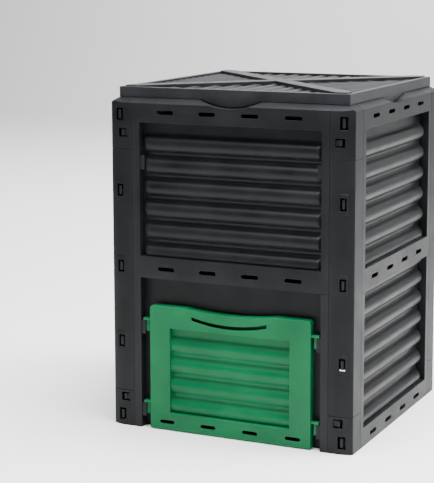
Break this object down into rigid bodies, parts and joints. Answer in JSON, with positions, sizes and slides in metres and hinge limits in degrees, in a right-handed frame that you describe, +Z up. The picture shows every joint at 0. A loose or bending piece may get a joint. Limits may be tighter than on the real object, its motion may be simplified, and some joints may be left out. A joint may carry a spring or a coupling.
{
  "type": "compost bin",
  "caption": "Square open-bottomed garden compost bin of corrugated snap-together panels, with corner posts, a hinged braced lid and a lift-out door.",
  "frame": {"origin": "centre of the square footprint on the ground", "axes": "+Z up, -Y towards the door side, +X to the right seen from the door side"},
  "size_m": [0.61, 0.61, 0.817],
  "materials": {
    "black_plastic": "satin moulded",
    "green_plastic": "satin moulded",
    "pin_plastic": "satin moulded"
  },
  "bodies": {
    "bin": {"front_upper_panel": "black_plastic", "front_lower_panel": "black_plastic", "right_upper_panel": "black_plastic", "right_lower_panel": "black_plastic", "back_upper_panel": "black_plastic", "back_lower_panel": "black_plastic", "left_upper_panel": "black_plastic", "left_lower_panel": "black_plastic", "front_left_bottom_block": "black_plastic", "front_left_post": "black_plastic", "front_left_top_block": "black_plastic", "front_right_bottom_block": "black_plastic", "front_right_post": "black_plastic", "front_right_top_block": "black_plastic", "back_left_bottom_block": "black_plastic", "back_left_post": "black_plastic", "back_left_top_block": "black_plastic", "back_right_bottom_block": "black_plastic", "back_right_post": "black_plastic", "back_right_top_block": "black_plastic", "hinge_pin_left": "pin_plastic", "hinge_pin_right": "pin_plastic"},
    "door": {"door": "green_plastic"},
    "lid": {"lid": "black_plastic"}
  },
  "joints": [
    {"name": "lid_hinge", "type": "hinge", "parent": "bin", "child": "lid", "pos_m": [0, 0.296, 0.803], "axis": [-1, 0, 0], "range_deg": [0, 105]},
    {"name": "door_lift", "type": "slide", "parent": "bin", "child": "door", "axis": [0, 0, 1], "range_m": [0, 0.05]}
  ]
}
